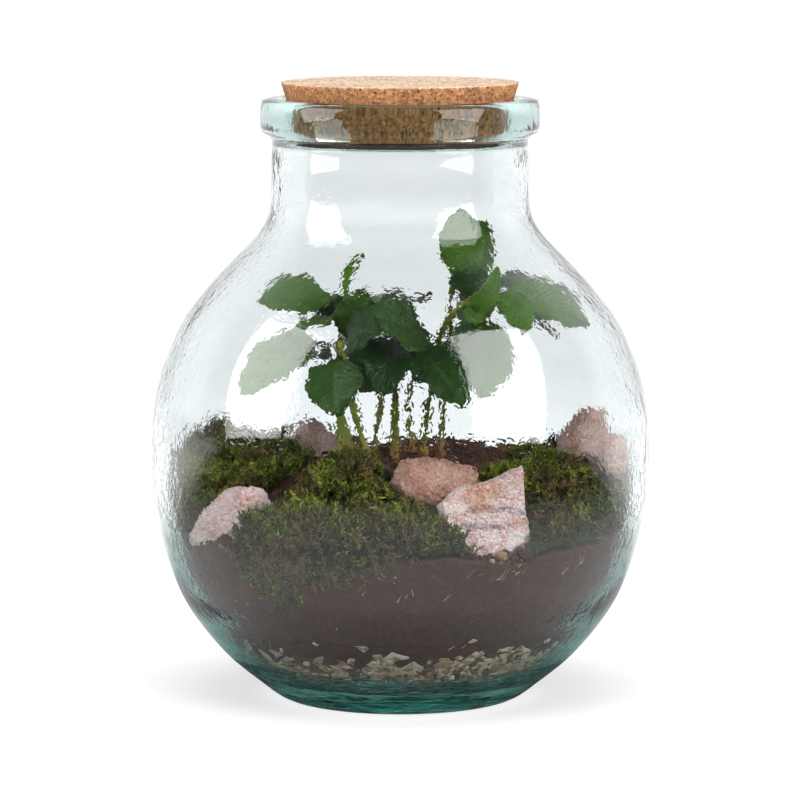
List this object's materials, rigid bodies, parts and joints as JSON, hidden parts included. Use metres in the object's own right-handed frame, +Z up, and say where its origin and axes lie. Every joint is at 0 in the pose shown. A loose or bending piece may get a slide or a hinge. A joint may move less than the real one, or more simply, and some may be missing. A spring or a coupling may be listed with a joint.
{
  "type": "glass plant terrarium",
  "caption": "Closed round bottle-glass terrarium with a cork stopper, holding gravel, potting soil, moss, pink stones and a clump of young leafy coffee plants.",
  "frame": {"origin": "middle of the ring that the glass stands on, at the height of the surface below it", "axes": "+Z up through the neck and the cork, -Y towards the front that the pink slab faces, +X to the right of that front"},
  "size_m": [0.244, 0.244, 0.3],
  "materials": {
    "glass": "gloss",
    "cork": "matte",
    "gravel": "matte",
    "soil": "matte",
    "moss": "matte",
    "stone": "matte",
    "stem": "satin",
    "leaf": "gloss"
  },
  "bodies": {
    "root": {"glass_vessel": "glass", "cork_stopper": "cork", "drainage_gravel": "gravel", "potting_soil": "soil", "moss_left": "moss", "moss_front": "moss", "moss_right": "moss", "stone_front": "stone", "stone_middle": "stone", "stone_left": "stone", "stone_back_left": "stone", "stone_back_right": "stone", "stone_right_small": "stone", "stem_a": "stem", "stem_b": "stem", "stem_c": "stem", "stem_d": "stem", "stem_e": "stem", "stem_f": "stem", "stem_g": "stem", "stem_h": "stem", "leaf_a_upper": "leaf", "leaf_a_under": "leaf", "leaf_a_young": "leaf", "leaf_a_back": "leaf", "leaf_b_left": "leaf", "leaf_b_back": "leaf", "leaf_b_upper": "leaf", "leaf_b_front": "leaf", "leaf_c_front": "leaf", "leaf_c_right": "leaf", "leaf_d_left": "leaf", "leaf_d_right": "leaf", "leaf_d_front": "leaf", "leaf_e_front": "leaf", "leaf_e_right": "leaf", "leaf_f_back": "leaf", "leaf_f_left": "leaf", "leaf_g_wide": "leaf", "leaf_g_tall": "leaf", "leaf_g_front": "leaf", "leaf_g_right": "leaf", "leaf_g_back": "leaf", "leaf_h_top": "leaf", "leaf_h_side": "leaf", "leaf_h_under": "leaf", "leaf_h_low": "leaf", "leaf_h_pale": "leaf"}
  },
  "joints": []
}
